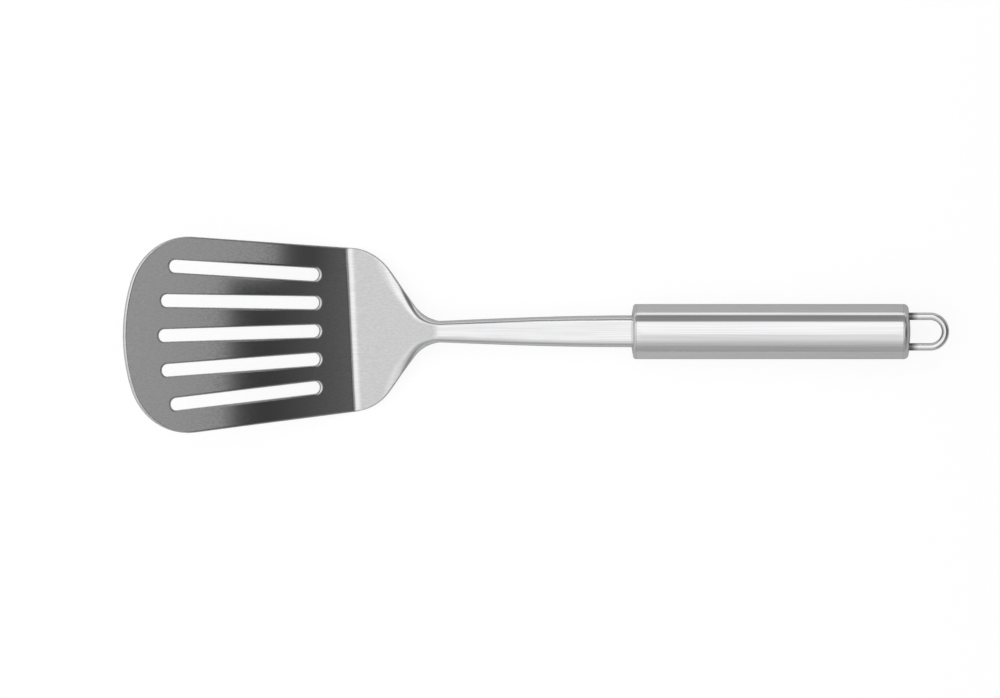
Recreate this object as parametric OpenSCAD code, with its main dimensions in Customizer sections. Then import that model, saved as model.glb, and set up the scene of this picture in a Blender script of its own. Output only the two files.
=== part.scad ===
// Fish spatula. The slotted blade, its bell shoulder, the channelled shank and the tang are
// pressed from one steel sheet. The tang is held in a hollow handle with two caps, and a
// wire loop to hang the tool by stands out of the rear cap.
// X runs from the blade's tip to the loop, Y across the tool, and Z up from the table that
// the tool lies on, food side up, on its heel fold and on the tube of its handle.

/* [Blade] */
// Thickness of the sheet that the blade and the shank are pressed from
sheet_t = 1.5; // [1.2:0.1:1.8]
// Length of the blade along the sheet, from the heel fold to the tip
blade_len = 100.5; // [92:0.5:110]
// Width of the sheet at the heel fold
heel_w = 65.4; // [62:0.2:72]
// Angle by which each side of the blade flares towards the tip
blade_flare = 5.1; // [3:0.1:6]
// Radius of the shallow curve across the tip
tip_r = 67; // [60:1:80]
// Radius of the two front corners
corner_r = 26; // [20:1:30]
// Rise of the blade towards its tip when the tool lies on a table
blade_rise = 25; // [20:1:30]
// Radius of the heel fold at the middle of the sheet
heel_r = 5; // [4:0.5:8]
// Angle by which the heel fold is pressed off square to the handle
heel_skew = 2.8; // [0:0.2:4]

/* [Slots] */
// Number of slots, with one on the middle line
slot_count = 5; // [3:2:5]
// Width of a slot
slot_w = 5; // [4.4:0.1:6]
// Distance between the middles of neighbouring slots
slot_pitch = 12.6; // [11:0.1:13.4]
// Angle between neighbouring slots, which fan out towards the tip
slot_fan = 2.3; // [0:0.1:3]
// Distance from the heel fold to the near ends of the slots
slot_start = 14.8; // [12:0.2:20]
// Distance from the tip to the far end of the middle slot
slot_land = 15; // [12:0.5:20]
// Radius of the arc that the far ends of the slots lie on
slot_end_r = 80; // [70:5:120]

/* [Shoulder and shank] */
// Length of the shoulder along the sheet, from the heel fold to the neck
shoulder_len = 35.9; // [32:0.1:42]
// Rise of the shoulder from the heel to the neck
shoulder_rise = 22; // [18:1:26]
// Radius at which the shoulder turns in from the heel
bell_r = 21.5; // [18:0.5:24]
// Radius at which the shoulder runs out into the neck
waist_r = 15; // [12:0.5:17]
// Radius of the bend at the neck, at the middle of the sheet
neck_r = 7; // [5:0.5:12]
// Width of the shank at the neck
neck_w = 8.6; // [8:0.1:10]
// Width of the shank where it enters the handle
shank_w = 12.7; // [11.5:0.1:14]
// Length of the shank from the neck to the handle
shank_len = 77.1; // [65:0.1:100]
// Depth of the channel at the neck, over its top
neck_depth = 3.2; // [3:0.1:4]
// Depth of the channel at the handle, over its top
shank_depth = 4.5; // [4:0.1:6]
// Angle to which the edges of the channel are folded down
flange_angle = 80; // [70:1:85]
// Radius of the channel's corners at the middle of the sheet
channel_r = 1.5; // [1.2:0.1:1.8]
// Length of the tang inside the handle
tang_len = 18; // [12:1:30]

/* [Handle] */
// Outer diameter of the handle
handle_d = 22; // [20:0.5:25]
// Wall of the handle's tube
tube_wall = 0.9; // [0.7:0.1:1.2]
// Length of the handle's tube
tube_len = 106.6; // [95:0.1:125]
// Thickness of the sheet that both caps are pressed from
cap_t = 1; // [0.8:0.1:1.2]
// Height of the front cap's dome over the end of the tube
front_dome = 2.2; // [2:0.1:3]
// Radius of the front cap's rim
front_rim_r = 1.2; // [1:0.1:1.6]
// Height of the rear cap's dome over the end of the tube
rear_dome = 2.7; // [2.5:0.1:3.5]
// Radius of the rear cap's rim
rear_rim_r = 2; // [1.6:0.1:2.2]
// Length of each cap's skirt inside the tube
skirt_len = 5; // [4:0.5:8]

/* [Hanging loop] */
// Diameter of the loop's wire
wire_d = 3; // [2.5:0.1:3.5]
// Distance between the middles of the loop's two legs
loop_w = 12.2; // [11:0.1:14]
// Reach of the loop past the rear cap
loop_reach = 15.5; // [13:0.5:22]
// Length of each leg inside the rear cap
leg_in = 8; // [6:0.5:12]

/* [Fits] */
// Clearance round the tang in the front cap, and round each leg in the rear cap
slip_gap = 0.1; // [0.05:0.05:0.2]
// Clearance between a cap's skirt and the inside of the tube
skirt_gap = 0.05; // [0.05:0.05:0.15]

/* [Hidden] */
polish = [0.80, 0.81, 0.82];
satin = [0.70, 0.71, 0.72];
bright = [0.86, 0.87, 0.88];

// Plain helpers
function mix(a, b, f) = a + (b - a) * f;
function ease(f) = let (c = min(max(f, 0), 1)) c * c * (3 - 2 * c);
function turned(p, a) = [p.x * cos(a) - p.y * sin(a), p.x * sin(a) + p.y * cos(a)];
function arc(centre, r, a0, a1, steps) =
    [for (i = [0 : steps]) let (a = mix(a0, a1, i / steps)) centre + r * [cos(a), sin(a)]];

// The sheet's side view, as the corners of its middle line: heel, neck, lead and tang
heel_turn = blade_rise + shoulder_rise;
heel_half = (shoulder_rise - blade_rise) / 2;
heel_reach = heel_r / cos(heel_turn / 2);
heel_run = heel_r * tan(heel_turn / 2);
heel_at = [heel_reach * sin(heel_half), heel_r + sheet_t / 2 - heel_reach * cos(heel_half)];
neck_at = heel_at + shoulder_len * [cos(shoulder_rise), sin(shoulder_rise)];
handle_z = handle_d / 2;
lead_len = 6;
face_x = neck_at.x + shank_len;
tang_z = handle_z + shank_depth / 2 - sheet_t / 2;
lead_at = [face_x - lead_len, tang_z];
shank_dir = lead_at - neck_at;
shank_rise = atan2(shank_dir.y, shank_dir.x);
neck_turn = shoulder_rise - shank_rise;
neck_run = neck_r * tan(neck_turn / 2);
lead_q = shoulder_len + norm(shank_dir);
face_q = lead_q + lead_len;

// Places along the handle
front_x = face_x + front_dome;
rear_x = front_x + tube_len;
loop_r = loop_w / 2;
loop_x = rear_x + rear_dome + loop_reach - wire_d / 2 - loop_r;
loop_end_x = rear_x + rear_dome + loop_reach;
tip_x = heel_at.x - blade_len * cos(blade_rise) - sheet_t / 2 * sin(blade_rise);
mid_x = (tip_x + loop_end_x) / 2;

// The bell outline of the shoulder: a round end, a straight flank and a round run-out.
// q is the distance along the corners of the side view, with 0 at the heel.
bell_at = [-bell_r * sin(blade_flare), heel_w / 2 - bell_r * cos(blade_flare)];
waist_at = [shoulder_len + neck_run, neck_w / 2 + waist_r];
flank_dir = waist_at - bell_at;
flank_r = bell_r + waist_r;
flank_len = sqrt(pow(norm(flank_dir), 2) - pow(flank_r, 2));
flank_angle = atan2(flank_dir.x, flank_dir.y) - atan2(flank_len, flank_r);
bell_end = bell_at.x + bell_r * sin(flank_angle);
waist_start = waist_at.x - waist_r * sin(flank_angle);

function half_width(q) =
    q < 0 ? heel_w / 2 - q * tan(blade_flare) :
    q < bell_end ? bell_at.y + sqrt(pow(bell_r, 2) - pow(q - bell_at.x, 2)) :
    q < waist_start ? bell_at.y + bell_r * cos(flank_angle) - (q - bell_end) * tan(flank_angle) :
    q < waist_at.x ? waist_at.y - sqrt(pow(waist_r, 2) - pow(q - waist_at.x, 2)) :
    mix(neck_w / 2, shank_w / 2, sin(90 * min((q - waist_at.x) / (face_q - waist_at.x), 1)));

// How far the sheet is folded down at q: 0 on the flat shoulder, 1 along the shank
form_start = 0.3;
function formed(q) = ease((q / shoulder_len - form_start) / (1 - form_start));

// How far the sections at q are turned in plan, from the skewed fold to the square neck
function skew_at(q) = heel_skew * (1 - ease((q - heel_run) / (shoulder_len - heel_run)));

// A bend of the side view, at the share f of its turn, as [x, z, direction]
function bend(corner, a_in, a_out, r, f) =
    let (
        side = sign(a_out - a_in),
        half = (a_out - a_in) / 2,
        middle = (a_in + a_out) / 2,
        a = mix(a_in, a_out, f),
        centre = corner + side * r / cos(half) * [-sin(middle), cos(middle)],
        p = centre + side * r * [sin(a), -cos(a)]
    )
    [p.x, p.y, a];

// Stations along the sheet from the end of the flat blade to the end of the tang, each
// as [x, z, direction, q]
heel_steps = 6;
shoulder_steps = 20;
neck_steps = 5;
shank_steps = 9;
// Chords of a cap's rim, and of its dome
rim_steps = 6;
dome_steps = 8;
// Rounding of a cap's inner corner
cup_r = 1;
stations = concat(
    [for (i = [0 : heel_steps]) let (f = i / heel_steps)
        concat(bend(heel_at, -blade_rise, shoulder_rise, heel_r, f), [heel_run * (2 * f - 1)])],
    [for (i = [1 : shoulder_steps - 1])
        let (q = mix(heel_run, shoulder_len - neck_run, i / shoulder_steps),
            p = heel_at + q * [cos(shoulder_rise), sin(shoulder_rise)])
        [p.x, p.y, shoulder_rise, q]],
    [for (i = [0 : neck_steps]) let (f = i / neck_steps)
        concat(bend(neck_at, shoulder_rise, shank_rise, neck_r, f),
            [shoulder_len + neck_run * (2 * f - 1)])],
    [for (i = [1 : shank_steps - 1])
        let (q = mix(shoulder_len + neck_run, lead_q, i / shank_steps),
            p = neck_at + (q - shoulder_len) * [cos(shank_rise), sin(shank_rise)])
        [p.x, p.y, shank_rise, q]],
    [
        [lead_at.x, tang_z, shank_rise / 2, lead_q],
        [front_x, tang_z, 0, face_q],
        [front_x + tang_len, tang_z, 0, face_q + tang_len]
    ]
);

// Distance of the sheet's edge from the middle line at a station, on side 1 or -1
function edge_reach(s, side) =
    let (turn = skew_at(s[3]), plan = half_width(s[3] - side * half_width(s[3]) * sin(turn)))
    (plan - side * s[0] * sin(turn)) / cos(turn);

// One side of the middle line of the channel's section, from the flat top to the edge.
// Each point is [across, down, fold angle]. The fold is a row of short equal chords.
fold_steps = 4;
soft_fold = 7;
soft_flange = 1.5;
function fold_length(g) = mix(soft_fold, channel_r * flange_angle * PI / 180, g);
function fold_across(g) = sum_steps(g, 0);
function fold_down(g) = sum_steps(g, 1);
function chord_angle(g, k) = g * flange_angle * (k - 0.5) / fold_steps;
function sum_steps(g, axis, count = fold_steps) =
    count < 1 ? 0 :
    let (a = chord_angle(g, count), step = fold_length(g) / fold_steps)
    step * (axis == 0 ? cos(a) : sin(a)) + sum_steps(g, axis, count - 1);

// Length of the straight flange past the fold that gives the channel its depth
function flange_length(q) =
    let (
        g = formed(q),
        depth = mix(neck_depth, shank_depth, min(max((q - shoulder_len) / (face_q - shoulder_len), 0), 1)),
        full = (depth - sheet_t / 2 - sheet_t / 2 * cos(flange_angle) - fold_down(1)) / sin(flange_angle)
    )
    mix(soft_flange, full, g);

function half_section(q, reach) =
    let (
        g = formed(q),
        a = g * flange_angle,
        l = flange_length(q),
        flat = reach - fold_across(g) - l * cos(a) - sheet_t / 2 * sin(a)
    )
    concat(
        [for (k = [0 : fold_steps])
            [flat + sum_steps(g, 0, k), sum_steps(g, 1, k), a * k / fold_steps]],
        [[flat + fold_across(g) + l * cos(a), fold_down(g) + l * sin(a), a]]
    );

// The closed outline of the section at q as [across, up], with the sheet t thick. The
// upper face runs from side -1 to side 1, and the lower face runs back.
function side_face(half, side, offset) =
    [for (p = half) [side * (p[0] + offset * sin(p[2])), offset * cos(p[2]) - p[1]]];
function flipped(list) = [for (i = [len(list) - 1 : -1 : 0]) list[i]];
function section(q, left, right, t) =
    let (l = half_section(q, left), r = half_section(q, right))
    concat(
        flipped(side_face(r, -1, t / 2)),
        side_face(l, 1, t / 2),
        flipped(side_face(l, 1, -t / 2)),
        side_face(r, -1, -t / 2)
    );

// A ring of points in space at a station, turned in plan by its skew
function ring(s) =
    let (turn = skew_at(s[3]))
    [for (p = section(s[3], edge_reach(s, 1), edge_reach(s, -1), sheet_t))
        let (flat = turned([s[0] - p[1] * sin(s[2]), p[0]], turn))
        [flat.x, flat.y, s[1] + p[1] * cos(s[2])]];

// The formed part of the sheet: the heel fold, the shoulder, the shank and the tang
module formed_sheet() {
    rings = [for (s = stations) ring(s)];
    n = len(rings[0]);
    last = len(rings) - 1;
    points = [for (r = rings) each r];
    sides = [for (i = [0 : last - 1], j = [0 : n - 1])
        let (a = i * n + j, b = i * n + (j + 1) % n)
        each [[a, b, b + n], [a, b + n, a + n]]];
    ends = [
        [for (j = [n - 1 : -1 : 0]) j],
        [for (j = [0 : n - 1]) last * n + j]
    ];
    polyhedron(points, concat(sides, ends), convexity = 6);
}

// The blade's outline with the tip towards -X and the heel corner at the origin
seam = stations[0];
blade_turn = atan(cos(blade_rise) * tan(heel_skew));
tip_centre = blade_len - tip_r;
side_gap = (heel_w / 2 + tip_centre * tan(blade_flare)) * cos(blade_flare) - corner_r;
corner_angle = asin(side_gap / (tip_r - corner_r)) + blade_flare;
corner_centre = [tip_centre, 0] + (tip_r - corner_r) * [cos(corner_angle), sin(corner_angle)];
function front_outline() =
    let (
        corner = arc(corner_centre, corner_r, 90 + blade_flare, corner_angle, 12),
        tip = arc([tip_centre, 0], tip_r, corner_angle, 0, 5),
        half = concat(corner, [for (i = [1 : len(tip) - 1]) tip[i]])
    )
    concat(half, [for (i = [len(half) - 2 : -1 : 0]) [half[i].x, -half[i].y]]);

module blade_outline() {
    front = [for (p = front_outline()) turned([-p.x, p.y], -blade_turn)];
    polygon(concat(front, [[-heel_run, -edge_reach(seam, -1)], [-heel_run, edge_reach(seam, 1)]]));
}

// One slot, counted from the middle line, with round ends
module slot_outline(i) {
    far = blade_len - slot_land;
    middle = [(slot_start + far) / 2, i * slot_pitch];
    along = [cos(i * slot_fan), sin(i * slot_fan)];
    back = (middle.x - slot_start) / along.x - slot_w / 2;
    from_arc = middle - [far - slot_end_r, 0];
    half_chord = from_arc * along;
    front = sqrt(pow(half_chord, 2) - from_arc * from_arc + pow(slot_end_r, 2)) - half_chord - slot_w / 2;
    mirror([1, 0])
        translate(middle)
            rotate(i * slot_fan) {
                translate([-back, -slot_w / 2])
                    square([back + front, slot_w]);
                for (x = [-back, front])
                    translate([x, 0])
                        circle(d = slot_w, $fn = 48);
            }
}

// The flat blade with its fanned slots
module blade_plate() {
    side_slots = (slot_count - 1) / 2;
    rotate([0, 0, heel_skew])
        translate([heel_at.x, 0, heel_at.y])
            rotate([0, blade_rise, 0])
                translate([0, 0, -sheet_t / 2])
                    linear_extrude(sheet_t)
                        difference() {
                            blade_outline();
                            rotate(-blade_turn)
                                for (i = [-side_slots : side_slots])
                                    slot_outline(i);
                        }
}

module slotted_blade() {
    color(polish)
        translate([-mid_x, 0, 0])
            union() {
                blade_plate();
                formed_sheet();
            }
}

// Places a part of revolution with its end at x and its axis along the handle
module on_handle(x) {
    translate([x - mid_x, 0, handle_z])
        rotate([0, 90, 0])
            children();
}

module handle_tube() {
    color(satin)
        on_handle(front_x)
            difference() {
                cylinder(d = handle_d, h = tube_len, $fn = 96);
                translate([0, 0, -1])
                    cylinder(r = handle_d / 2 - tube_wall, h = tube_len + 2, $fn = 96);
            }
}

// The cross-section of a cap's outer face from its rim to its middle: a round rim, then
// a shallow dome. Inset makes the inner face of the same sheet.
function dome_face(height, rim_r) =
    let (
        rise = height - rim_r,
        span = handle_d / 2 - rim_r,
        dome_r = (pow(span, 2) + pow(rise, 2)) / (2 * rise),
        lean = asin(span / dome_r),
        rim = arc([span, 0], rim_r, 0, 90 - lean / 2, rim_steps),
        dome = [for (i = [1 : dome_steps]) let (a = lean * (1 - i / dome_steps))
            [dome_r * sin(a), height - dome_r + dome_r * cos(a)]]
    )
    concat(rim, dome);

// A cap: a domed cup whose rim stands on the tube's end and whose skirt lies inside it
module cap(height, rim_r) {
    skirt_r = handle_d / 2 - tube_wall - skirt_gap;
    outer = dome_face(height, rim_r);
    inner_top = height - cap_t;
    rotate_extrude($fn = 96)
        polygon(concat(
            [[0, inner_top]],
            [[skirt_r - cap_t - cup_r, inner_top - (height - rim_r)], [skirt_r - cap_t, 0]],
            [[skirt_r - cap_t, -skirt_len], [skirt_r, -skirt_len], [skirt_r, 0]],
            outer
        ));
}

// The cut for the tang: the channel's own section with the slip clearance all round
module tang_cut() {
    wide = shank_w / 2 + slip_gap;
    translate([face_x - mid_x - 1, 0, tang_z])
        rotate([90, 0, 90])
            linear_extrude(front_dome + skirt_len + 2)
                polygon(section(face_q, wide, wide, sheet_t + 2 * slip_gap));
}

module front_cap() {
    color(bright)
        difference() {
            on_handle(front_x)
                mirror([0, 0, 1])
                    cap(front_dome, front_rim_r);
            tang_cut();
        }
}

module rear_cap() {
    color(bright)
        on_handle(rear_x)
            difference() {
                cap(rear_dome, rear_rim_r);
                for (side = [-1, 1])
                    translate([0, side * loop_r, -1])
                        cylinder(d = wire_d + 2 * slip_gap, h = rear_dome + 2, $fn = 48);
            }
}

module hanging_loop() {
    color(bright)
        translate([loop_x - mid_x, 0, handle_z]) {
            rotate([0, 0, -90])
                rotate_extrude(angle = 180, $fn = 96)
                    translate([loop_r, 0])
                        circle(d = wire_d, $fn = 32);
            for (side = [-1, 1])
                translate([0, side * loop_r, 0])
                    rotate([0, -90, 0])
                        cylinder(d = wire_d, h = loop_x - rear_x + leg_in, $fn = 32);
        }
}

slotted_blade();
front_cap();
handle_tube();
rear_cap();
hanging_loop();
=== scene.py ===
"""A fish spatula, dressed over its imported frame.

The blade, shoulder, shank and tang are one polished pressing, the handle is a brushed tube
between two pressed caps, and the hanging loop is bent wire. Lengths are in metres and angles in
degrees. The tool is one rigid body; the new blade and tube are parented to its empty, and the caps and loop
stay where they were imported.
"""

import logging
import math
from dataclasses import dataclass, field
from enum import Enum

import bmesh
import bpy
import numpy as np
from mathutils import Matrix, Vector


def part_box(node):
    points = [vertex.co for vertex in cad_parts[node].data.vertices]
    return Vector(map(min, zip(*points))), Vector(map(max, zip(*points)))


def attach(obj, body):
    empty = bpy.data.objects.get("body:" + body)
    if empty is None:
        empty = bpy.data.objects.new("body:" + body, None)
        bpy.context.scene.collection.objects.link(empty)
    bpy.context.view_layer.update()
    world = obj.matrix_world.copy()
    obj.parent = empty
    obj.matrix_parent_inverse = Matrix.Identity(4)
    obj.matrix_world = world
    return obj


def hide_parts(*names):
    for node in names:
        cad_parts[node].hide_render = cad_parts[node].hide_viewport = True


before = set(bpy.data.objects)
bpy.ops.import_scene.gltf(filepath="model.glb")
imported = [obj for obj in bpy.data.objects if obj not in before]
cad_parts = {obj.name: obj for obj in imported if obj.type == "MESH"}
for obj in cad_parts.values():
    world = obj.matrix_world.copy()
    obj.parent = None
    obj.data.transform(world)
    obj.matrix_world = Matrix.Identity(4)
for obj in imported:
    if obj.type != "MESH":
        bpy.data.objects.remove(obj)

LOG = logging.getLogger("fish_spatula")
BODY = "root"
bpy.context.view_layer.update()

Color = tuple[float, float, float]
Stops = tuple[tuple[float, float], ...]


class Grain(Enum):
    """How a finish's noise is stretched: into lines along the tool, or not at all."""

    ALONG = (1.5, 130.0, 130.0)
    NONE = (60.0, 60.0, 60.0)


class Graph:
    """The nodes of one material or world."""

    def __init__(self, owner: bpy.types.Material | bpy.types.World) -> None:
        """Empty the owner's node tree.

        Args:
            owner: The material or world whose nodes are built.
        """
        owner.use_nodes = True
        self.nodes = owner.node_tree.nodes
        self.links = owner.node_tree.links
        self.nodes.clear()

    def add(self, kind: str, inputs: dict | None = None, **settings: object) -> bpy.types.Node:
        """Add a node.

        Args:
            kind: The node's type, without its common prefix.
            inputs: Values by input name or number. An output socket is linked, and any
                other value is written to the input.
            **settings: The node's own settings.

        Returns:
            The new node.
        """
        node = self.nodes.new("ShaderNode" + kind)
        for key, value in settings.items():
            setattr(node, key, value)
        for key, value in (inputs or {}).items():
            if isinstance(value, bpy.types.NodeSocket):
                self.links.new(value, node.inputs[key])
            else:
                node.inputs[key].default_value = value
        return node

    def math(self, kind: str, *values: object) -> bpy.types.NodeSocket:
        """Add a Math node and return its result."""
        return self.add("Math", dict(enumerate(values)), operation=kind).outputs[0]

    def ramp(self, source: bpy.types.NodeSocket, stops: Stops, blend: str = "LINEAR") -> bpy.types.NodeSocket:
        """Add a ramp of greys over a value.

        Args:
            source: The value, from 0 to 1.
            stops: Pairs of place and grey level, in rising order.
            blend: How the ramp runs between two stops.

        Returns:
            The ramp's colour.
        """
        node = self.add("ValToRGB", {0: source})
        node.color_ramp.interpolation = blend
        marks = node.color_ramp.elements
        for k, (place, level) in enumerate(stops):
            mark = marks[k] if k < 2 else marks.new(place)
            mark.position = place
            mark.color = (level, level, level, 1.0)
        return node.outputs[0]


@dataclass(frozen=True)
class SteelFinish:
    """A stainless steel finish with polishing lines or smears, and a band of painted shade along X where one
    is asked for.

    Args:
        name: The material's name.
        color: The base colour, linear.
        roughness: The metal's least roughness.
        streak: How much the polishing lines add to the roughness.
        bump: The height of the polishing lines.
        grain: The stretch of the polishing lines.
        painted_shade_span: Where along X the painted shade fades out: the colour is the shade's below the
            first and the metal's own past the second, if this is given.
        edge_r: The radius that sheared edges are shaded with, or 0 for none.
        edge_samples: Samples of the shaded edges.
        worn_share: How much of the colour is left in the darkest lines or smears.
        worn_range: The noise levels between which the colour wears.
        rough_range: The noise levels between which the roughness rises.
        line_noise: Scale and detail of the polishing lines.
        smear_noise: Scale and detail of the smears.
        painted_shade_color: The colour of the painted shade.
        bump_share: How strongly the lines tilt the surface.
    """

    name: str
    color: Color
    roughness: float
    streak: float
    bump: float
    grain: Grain
    painted_shade_span: tuple[float, float] | None = None
    edge_r: float = 0.0
    edge_samples: int = 12
    worn_share: float = 0.90
    worn_range: tuple[float, float] = (0.35, 0.65)
    rough_range: tuple[float, float] = (0.3, 0.7)
    line_noise: tuple[float, float] = (14.0, 4.0)
    smear_noise: tuple[float, float] = (38.0, 2.0)
    painted_shade_color: Color = (0.16, 0.155, 0.15)
    bump_share: float = 0.5

    def material(self) -> bpy.types.Material:
        """Build the node material on the piece's own coordinates.

        Returns:
            The new material.
        """
        mat = bpy.data.materials.new(self.name)
        graph = Graph(mat)
        place = graph.add("TexCoord").outputs["Object"]
        stretch = graph.add("Mapping", {"Vector": place, "Scale": self.grain.value}).outputs[0]
        lines = self.noise(graph, stretch, self.line_noise)
        wear = self.noise(graph, place, self.smear_noise) if self.grain is Grain.NONE else lines
        steel = graph.add("BsdfPrincipled", {
            "Metallic": 1.0,
            "Roughness": self.roughness_over(graph, lines),
            "Base Color": self.color_over(graph, place, wear),
            "Normal": self.normal_over(graph, lines),
        })
        graph.add("OutputMaterial", {"Surface": steel.outputs[0]})
        return mat

    @staticmethod
    def noise(graph: Graph, place: bpy.types.NodeSocket, size: tuple[float, float]) -> bpy.types.NodeSocket:
        """Add noise of one scale and detail."""
        return graph.add("TexNoise", {"Vector": place, "Scale": size[0], "Detail": size[1]}).outputs["Fac"]

    def roughness_over(self, graph: Graph, lines: bpy.types.NodeSocket) -> bpy.types.NodeSocket:
        """Raise the roughness from its least value along the polishing lines."""
        return graph.add("MapRange", {
            "Value": lines,
            "From Min": self.rough_range[0],
            "From Max": self.rough_range[1],
            "To Min": self.roughness,
            "To Max": self.roughness + self.streak,
        }).outputs[0]

    def color_over(
        self, graph: Graph, place: bpy.types.NodeSocket, wear: bpy.types.NodeSocket
    ) -> bpy.types.NodeSocket:
        """Darken the colour a little where it is worn, and to a painted shade below a place along X where
        that is asked for.

        Args:
            graph: The material's nodes.
            place: The piece's own coordinates.
            wear: The noise that the colour follows.

        Returns:
            The base colour.
        """
        worn = graph.add("MapRange", {
            "Value": wear,
            "From Min": self.worn_range[0],
            "From Max": self.worn_range[1],
        }).outputs[0]
        color = graph.add("Mix", data_type="RGBA")
        color.inputs["A"].default_value = (*self.color, 1.0)
        color.inputs["B"].default_value = (*(self.worn_share * part for part in self.color), 1.0)
        graph.links.new(worn, color.inputs["Factor"])
        if self.painted_shade_span is None:
            return color.outputs["Result"]
        # Painted shade: below the first X the colour is the shade colour, and past the second it is the
        # metal's own.
        along = graph.add("SeparateXYZ", {0: place}).outputs["X"]
        past_painted_shade = graph.add("MapRange", {
            "Value": along,
            "From Min": self.painted_shade_span[0],
            "From Max": self.painted_shade_span[1],
        }).outputs[0]
        painted_shade_mix = graph.add("Mix", data_type="RGBA")
        painted_shade_mix.inputs["A"].default_value = (*self.painted_shade_color, 1.0)
        graph.links.new(past_painted_shade, painted_shade_mix.inputs["Factor"])
        graph.links.new(color.outputs["Result"], painted_shade_mix.inputs["B"])
        return painted_shade_mix.outputs["Result"]

    def normal_over(self, graph: Graph, lines: bpy.types.NodeSocket) -> bpy.types.NodeSocket:
        """Tilt the surface along the polishing lines, over rounded edges where they are asked for."""
        bump = graph.add("Bump", {
            "Strength": self.bump_share,
            "Distance": self.bump,
            "Height": lines,
        })
        if self.edge_r:
            rolled = graph.add("Bevel", {"Radius": self.edge_r}, samples=self.edge_samples)
            graph.links.new(rolled.outputs[0], bump.inputs["Normal"])
        return bump.outputs[0]


MIRROR = SteelFinish("mirror_steel", (0.86, 0.86, 0.87), 0.05, 0.03, 1e-6, Grain.ALONG, edge_r=0.0012)
BRUSHED = SteelFinish("brushed_steel", (0.88, 0.88, 0.89), 0.05, 0.06, 2.5e-6, Grain.ALONG)
PRESSED = SteelFinish("pressed_cap_steel", (0.82, 0.82, 0.83), 0.14, 0.06, 2e-6, Grain.NONE)
# The wire's colour is painted dark below X = 0.1494 and fades to its own by 0.1522: painted shade on the legs
# where they go into the cap.
DRAWN = SteelFinish(
    "drawn_wire_steel", (0.92, 0.92, 0.93), 0.10, 0.08, 2e-6, Grain.ALONG, painted_shade_span=(0.1494, 0.1522)
)


def add_object(name: str, mesh: bpy.types.Mesh) -> bpy.types.Object:
    """Put a mesh into the scene as an object at the origin."""
    obj = bpy.data.objects.new(name, mesh)
    bpy.context.scene.collection.objects.link(obj)
    return obj


def dress_node(node: str, finish: bpy.types.Material) -> None:
    """Give a CAD node a finish in its object's own material slots.

    Args:
        node: The node's name.
        finish: The material.
    """
    for slot in bpy.data.objects[node].material_slots:
        slot.material = finish
    LOG.info("finished %s", node)


def arc(centre: tuple[float, float], r: float, a0: float, a1: float, steps: int) -> np.ndarray:
    """Points of an arc, centre + r (cos a, sin a), for a from a0 to a1."""
    a = np.radians(np.linspace(a0, a1, steps))
    return np.stack([centre[0] + r * np.cos(a), centre[1] + r * np.sin(a)], -1)


def revolve(profile: np.ndarray, x_from: float, axis_z: float, steps: int) -> np.ndarray:
    """Turn a profile about the handle's axis.

    A profile point (x, r) goes to (x_from + x, r cos t, axis_z + r sin t) for t round the
    circle, so each profile point becomes one ring.

    Args:
        profile: Points as (distance along the axis, radius).
        x_from: Where the profile's zero lies along X.
        axis_z: Height of the axis.
        steps: Points round each ring.

    Returns:
        The grid of rings, of shape (rings, steps, 3).
    """
    t = np.linspace(0.0, 2.0 * math.pi, steps, endpoint=False)
    x = np.repeat((x_from + profile[:, 0])[:, None], steps, axis=1)
    y = profile[:, 1][:, None] * np.cos(t)
    z = axis_z + profile[:, 1][:, None] * np.sin(t)
    return np.stack([x, y, z], -1)


def ring_mesh(name: str, grid: np.ndarray, merge: float = 1e-7, crease: float = 50.0) -> bpy.types.Mesh:
    """Make a closed skin from rings whose last ring meets the first.

    Face (i, j) joins points j and j + 1 of ring i to the same points of ring i + 1, where
    the point after a ring's last is its first.

    Args:
        name: The mesh's name.
        grid: The rings, of shape (rings, points, 3).
        merge: Points closer than this become one.
        crease: Edges sharper than this stay sharp.

    Returns:
        The mesh, shaded smooth, with its faces outwards.
    """
    rings, count = grid.shape[:2]
    i, j = np.meshgrid(np.arange(rings - 1), np.arange(count), indexing="ij")
    here, after = i * count, (j + 1) % count
    quads = np.stack([here + j, here + after, here + count + after, here + count + j], -1)
    mesh = bpy.data.meshes.new(name)
    mesh.from_pydata(grid.reshape(-1, 3).tolist(), [], quads.reshape(-1, 4).tolist())
    work = bmesh.new()
    work.from_mesh(mesh)
    bmesh.ops.remove_doubles(work, verts=work.verts, dist=merge)
    bmesh.ops.recalc_face_normals(work, faces=work.faces)
    work.to_mesh(mesh)
    work.free()
    mesh.shade_smooth()
    mesh.set_sharp_from_angle(angle=math.radians(crease))
    return mesh


def corner_pairs(vertex: np.ndarray) -> tuple[np.ndarray, np.ndarray]:
    """List every ordered pair of face corners that share a vertex.

    The corners are sorted by vertex, so the partners of a corner are one run of the sorted
    list, and each run is repeated once for each of its corners.

    Args:
        vertex: The vertex of each corner.

    Returns:
        The first and the second corner of each pair.
    """
    order = np.argsort(vertex, kind="stable")
    count = np.bincount(vertex)
    start = np.cumsum(count) - count
    reach = count[vertex[order]]
    step = np.arange(reach.sum()) - np.repeat(np.cumsum(reach) - reach, reach)
    return np.repeat(order, reach), order[np.repeat(start[vertex[order]], reach) + step]


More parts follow.
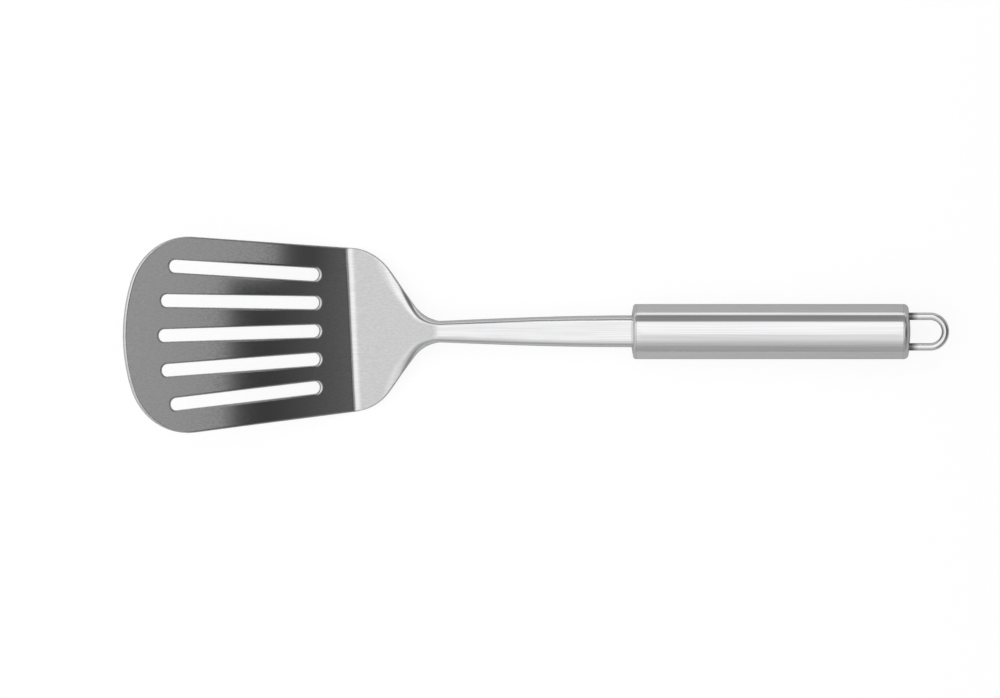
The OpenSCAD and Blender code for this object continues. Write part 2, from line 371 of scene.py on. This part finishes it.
@dataclass
class Pressing:
    """The blade, shoulder, shank and tang: one polished sheet.

    Args:
        node: The CAD node that the sheet stands for.
        rise: How steeply the blade rises towards its tip.
        skew: How far the heel fold is off square.
        merge: Points closer than this become one.
        square_to: Faces within this angle of the blade's plane are flat.
        flat_within: Faces whose corners are this near a side's plane are flat.
        crease: Faces that meet more sharply than this aren't shaded together.
    """

    node: str = "slotted_blade"
    rise: float = 25.0
    skew: float = 2.8
    merge: float = 1e-6
    square_to: float = 0.6
    flat_within: float = 4e-6
    crease: float = 40.0

    @property
    def plane(self) -> np.ndarray:
        """The blade's upward normal: up, leaned by the rise and turned by the skew."""
        rise, skew = math.radians(self.rise), math.radians(self.skew)
        return np.array([math.sin(rise) * math.cos(skew), math.sin(rise) * math.sin(skew), math.cos(rise)])

    def build(self) -> bpy.types.Object:
        """Copy the node's mesh, merge it, set its normals and polish it.

        Returns:
            The dressed blade.
        """
        mesh = bpy.data.objects[self.node].data.copy()
        mesh.name = "polished_blade"
        work = bmesh.new()
        work.from_mesh(mesh)
        bmesh.ops.remove_doubles(work, verts=work.verts, dist=self.merge)
        work.to_mesh(mesh)
        work.free()
        mesh.materials.clear()
        mesh.materials.append(MIRROR.material())
        mesh.shade_smooth()
        piece = add_object("polished_blade", mesh)
        self.set_normals(mesh)
        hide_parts(self.node)
        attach(piece, BODY)
        LOG.info("dressed %s with %d faces", self.node, len(mesh.polygons))
        return piece

    def flat_sides(self, corners: np.ndarray, normal: np.ndarray, area: np.ndarray) -> np.ndarray:
        """Find the faces of the blade's flat sides.

        Slivers have poor normals of their own, so a face also counts as flat where all its
        corners lie at the height of a flat side, measured along the blade's normal.

        Args:
            corners: The faces' corner points, of shape (faces, 3, 3).
            normal: The faces' normals.
            area: The faces' areas.

        Returns:
            1 for each face of the upper side, -1 for the lower side and 0 for any other.
        """
        facing = normal @ self.plane
        level = corners @ self.plane
        square = np.abs(facing) > math.cos(math.radians(self.square_to))
        side = np.where(square, np.sign(facing), 0.0)
        for sign in (1.0, -1.0):
            own = square & (facing * sign > 0)
            height = np.average((level[own].min(1) + level[own].max(1)) / 2, weights=area[own])
            side[np.abs(level - height).max(1) < self.flat_within] = sign
        return side

    def set_normals(self, mesh: bpy.types.Mesh) -> None:
        """Shade the sheet smoothly without letting its rims tilt the flat blade.

        A corner of a flat face, or one that touches a flat face within the crease angle,
        takes the blade's own normal. Any other corner takes the sum of area times normal
        over the faces round its vertex that lie within the crease angle of its own face.

        Args:
            mesh: The merged sheet of triangles, whose normals are set.
        """
        count = len(mesh.polygons)
        normal, area = np.empty(count * 3), np.empty(count)
        mesh.polygons.foreach_get("normal", normal)
        mesh.polygons.foreach_get("area", area)
        vertex = np.empty(count * 3, dtype=np.int32)
        mesh.loops.foreach_get("vertex_index", vertex)
        point = np.empty(len(mesh.vertices) * 3)
        mesh.vertices.foreach_get("co", point)
        normal, point = normal.reshape(-1, 3), point.reshape(-1, 3)
        side = self.flat_sides(point[vertex].reshape(-1, 3, 3), normal, area)

        face = np.repeat(np.arange(count), 3)
        first, second = corner_pairs(vertex)
        alike = np.einsum("ij,ij->i", normal[face[first]], normal[face[second]])
        near = alike > math.cos(math.radians(self.crease))
        first, second = first[near], face[second[near]]
        shade = np.zeros((len(vertex), 3))
        np.add.at(shade, first, normal[second] * area[second][:, None])
        beside = np.zeros(len(vertex))
        np.add.at(beside, first, side[second])
        sign = np.where(side[face] != 0, side[face], np.sign(beside))[:, None]
        shade = np.where(sign != 0, self.plane * sign, shade)
        length = np.linalg.norm(shade, axis=1)
        shade[length < 1e-12] = (0.0, 0.0, 1.0)
        shade /= np.linalg.norm(shade, axis=1)[:, None]
        mesh.normals_split_custom_set(shade.tolist())


@dataclass
class Handle:
    """The brushed tube and its two pressed caps.

    Args:
        box: The lowest and highest corners of the CAD tube.
        wall: The tube's wall.
        ease_r: The rounding of the tube's ends at the cap seams.
        ease_steps: Points of that rounding.
        length_steps: Points along the tube.
        turn_steps: Points round the tube.
    """

    box: tuple = field(default_factory=lambda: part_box("handle_tube"))
    wall: float = 0.0009
    ease_r: float = 0.00018
    ease_steps: int = 5
    length_steps: int = 40
    turn_steps: int = 160

    def build(self) -> None:
        """Turn the tube and finish the caps."""
        self.tube()
        cap_finish = PRESSED.material()
        for node in ("front_cap", "rear_cap"):
            dress_node(node, cap_finish)

    def tube(self) -> bpy.types.Object:
        """Turn the tube, with its ends eased into the cap seams.

        Returns:
            The brushed tube.
        """
        low, high = self.box
        length = high[0] - low[0]
        r, ease = (high[1] - low[1]) / 2, self.ease_r
        start = arc((ease, r - ease), ease, 180, 90, self.ease_steps)
        end = arc((length - ease, r - ease), ease, 90, 0, self.ease_steps)
        x = np.linspace(ease, length - ease, self.length_steps)[1:-1]
        along = np.stack([x, np.full(len(x), r)], -1)
        inner = np.array([[length, r - self.wall], [0.0, r - self.wall]])
        profile = np.concatenate([start, along, end, inner, start[:1]])
        grid = revolve(profile, low[0], (high[2] + low[2]) / 2, self.turn_steps)
        mesh = ring_mesh("brushed_tube", grid)
        mesh.materials.append(BRUSHED.material())
        piece = add_object("brushed_tube", mesh)
        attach(piece, BODY)
        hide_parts("handle_tube")
        LOG.info("made brushed_tube with %d faces", len(mesh.polygons))
        return piece


@dataclass
class HangingLoop:
    """The bent wire loop, with painted shade on its legs where they go into the cap that they are welded to.
    """

    node: str = "hanging_loop"

    def build(self) -> None:
        """Finish the loop's CAD node."""
        dress_node(self.node, DRAWN.material())


@dataclass
class Studio:
    """The camera, the white floor, the grey panel beside the tool, and the soft light.

    Args:
        px: Length that one pixel of the photograph stands for.
        picture_w: Width of the picture in pixels.
        sensor_w: Width of the camera's sensor, in millimetres.
        tilt: How far the camera leans over the tool's +Y side.
        distance: How far away the camera is.
        target: The point that the camera looks at.
        clip_end: How far the camera sees.
        floor_half: Half the floor's side.
        floor_paint: How light the floor is for the object's reflections and light.
        floor_glow: How light the floor is for the camera by itself.
        floor_soft: How much light and shadow the camera's floor shows besides.
        panel_z: Height of the panel.
        panel_x: Where the panel starts and ends along X.
        panel_side: How far the panel reaches to both sides.
        panel_turn: Where along Y the panel's step of tone jumps.
        panel_steps: Where the step of tone lies along X, below and above the jump.
        along: The sky's brightness by angle from straight up, towards +X.
        across: The same towards +Y.
    """

    px: float = 0.0003986
    picture_w: int = 1000
    sensor_w: float = 36.0
    tilt: float = 3.7
    distance: float = 8.0
    target: tuple[float, float, float] = (-0.01465, -0.00696, 0.011)
    clip_end: float = 20.0
    floor_half: float = 3.0
    floor_paint: float = 0.8
    floor_glow: float = 0.86
    floor_soft: float = 0.24
    panel_z: float = 0.45
    panel_x: tuple[float, float] = (0.27, 0.47)
    panel_side: float = 0.6
    panel_turn: float = 0.007
    panel_steps: tuple[float, float] = (0.371, 0.405)
    along: Stops = (
        (-180, 0.5), (-90, 0.62), (-44, 0.73), (-28, 0.85), (-12, 1.0), (14, 1.0), (24, 0.8),
        (34, 0.25), (42, 0.05), (62, 0.04), (76, 0.2), (90, 0.35), (180, 0.4),
    )
    across: Stops = (
        (-180, 0.38), (-90, 0.38), (-67, 0.40), (-48, 0.56), (-30, 0.78), (-11, 0.82), (-5, 1.06),
        (41, 1.10), (50, 0.28), (75, 0.26), (80, 0.95), (98, 0.95), (180, 0.4),
    )

    def build(self) -> None:
        """Set up the camera, floor, panel and light."""
        self.camera()
        self.floor()
        self.panel()
        self.light()
        LOG.info("set up the studio")

    def camera(self) -> None:
        """A long lens almost straight over the tool, so that it shows the tool nearly in plan."""
        data = bpy.data.cameras.new("camera")
        data.sensor_width = self.sensor_w
        data.lens = self.sensor_w * self.distance / (self.picture_w * self.px)
        data.clip_end = self.clip_end
        cam = bpy.data.objects.new("camera", data)
        bpy.context.scene.collection.objects.link(cam)
        lean = math.radians(self.tilt)
        x, y, z = self.target
        cam.location = (x, y + self.distance * math.sin(lean), z + self.distance * math.cos(lean))
        cam.rotation_euler = (-lean, 0.0, 0.0)
        bpy.context.scene.camera = cam

    def sheet(
        self, name: str, x: tuple[float, float], y: tuple[float, float], z: float, up: bool
    ) -> tuple[bpy.types.Object, Graph]:
        """Add a flat four-sided stage piece with an empty material.

        Args:
            name: The piece's name.
            x: Its lowest and highest X.
            y: Its lowest and highest Y.
            z: Its height.
            up: Whether it faces up or down.

        Returns:
            The piece, and its material's nodes.
        """
        corners = [(x[0], y[0], z), (x[1], y[0], z), (x[1], y[1], z), (x[0], y[1], z)]
        mesh = bpy.data.meshes.new(name)
        mesh.from_pydata(corners, [], [(0, 1, 2, 3) if up else (3, 2, 1, 0)])
        mat = bpy.data.materials.new(name + "_paint")
        mesh.materials.append(mat)
        obj = add_object(name, mesh)
        return obj, Graph(mat)

    def floor(self) -> None:
        """A plain white floor that keeps a soft shadow.

        The camera sees a glow plus a little lit paint, and all other rays see lit paint.
        """
        reach = (-self.floor_half, self.floor_half)
        _, graph = self.sheet("floor", reach, reach, 0.0, True)
        paint, soft = (
            graph.add("BsdfDiffuse", {"Color": (level, level, level, 1.0)}).outputs[0]
            for level in (self.floor_paint, self.floor_soft)
        )
        glow = graph.add("Emission", {"Strength": self.floor_glow}).outputs[0]
        shown = graph.add("AddShader", {0: soft, 1: glow}).outputs[0]
        to_camera = graph.add("LightPath").outputs["Is Camera Ray"]
        both = graph.add("MixShader", {0: to_camera, 1: paint, 2: shown}).outputs[0]
        graph.add("OutputMaterial", {"Surface": both})

    def panel(self) -> None:
        """The grey panel that the polished blade shows as a step of tone.

        Its glow depends on the panel's own X: light grey up to the step, almost black just
        past it, and a darker grey again towards the far edge. The step jumps at one Y, so the
        panel is made in two parts.
        """
        start, end = self.panel_x
        parts = (
            ("grey_panel_low", (-self.panel_side, self.panel_turn), self.panel_steps[0]),
            ("grey_panel_high", (self.panel_turn, self.panel_side), self.panel_steps[1]),
        )
        for name, y, step in parts:
            obj, graph = self.sheet(name, self.panel_x, y, self.panel_z, False)
            place = graph.add("TexCoord").outputs["Object"]
            x = graph.add("SeparateXYZ", {0: place}).outputs["X"]
            stops = (
                (start, 0.36), (step - 0.003, 0.31), (step, 0.05),
                (step + 0.02, 0.035), (end - 0.03, 0.10), (end, 0.16),
            )
            glow = graph.add("Emission", {"Color": graph.ramp(x, stops)}).outputs[0]
            graph.add("OutputMaterial", {"Surface": glow})
            obj.visible_camera = False

    def light(self) -> None:
        """A soft white studio overhead, grey to both sides and dark towards the handle's end.

        The brightness towards +X is a ramp over the angle atan2(x, z) from straight up, the
        brightness towards +Y is one over atan2(y, z), and the share of the second is
        y^2 / (x^2 + y^2). The camera sees plain white.
        """
        world = bpy.data.worlds.new("studio")
        bpy.context.scene.world = world
        graph = Graph(world)
        place = graph.add("TexCoord").outputs["Generated"]
        x, y, z = graph.add("SeparateXYZ", {0: place}).outputs
        yy, xx = graph.math("MULTIPLY", y, y), graph.math("MULTIPLY", x, x)
        share = graph.math("DIVIDE", yy, graph.math("ADD", graph.math("ADD", xx, yy), 1e-5))
        sky = graph.add("Mix", data_type="RGBA")
        graph.links.new(share, sky.inputs["Factor"])
        for part, stops, key in ((x, self.along, "A"), (y, self.across, "B")):
            turn = graph.math("DIVIDE", graph.math("ARCTAN2", part, z), 2 * math.pi)
            places = tuple((angle / 360 + 0.5, level) for angle, level in stops)
            graph.links.new(graph.ramp(graph.math("ADD", turn, 0.5), places, "EASE"), sky.inputs[key])
        seen = graph.add("Mix", data_type="RGBA")
        seen.inputs["B"].default_value = (1.0, 1.0, 1.0, 1.0)
        graph.links.new(graph.add("LightPath").outputs["Is Camera Ray"], seen.inputs["Factor"])
        graph.links.new(sky.outputs["Result"], seen.inputs["A"])
        back = graph.add("Background", {"Color": seen.outputs["Result"], "Strength": 1.0})
        graph.add("OutputWorld", {"Surface": back.outputs[0]})


def main() -> None:
    """Build the studio and the tool."""
    logging.basicConfig(level=logging.INFO)
    bpy.context.scene.view_settings.view_transform = "Standard"
    for part in (Studio(), Pressing(), Handle(), HangingLoop()):
        part.build()


if __name__ == "__main__":
    main()
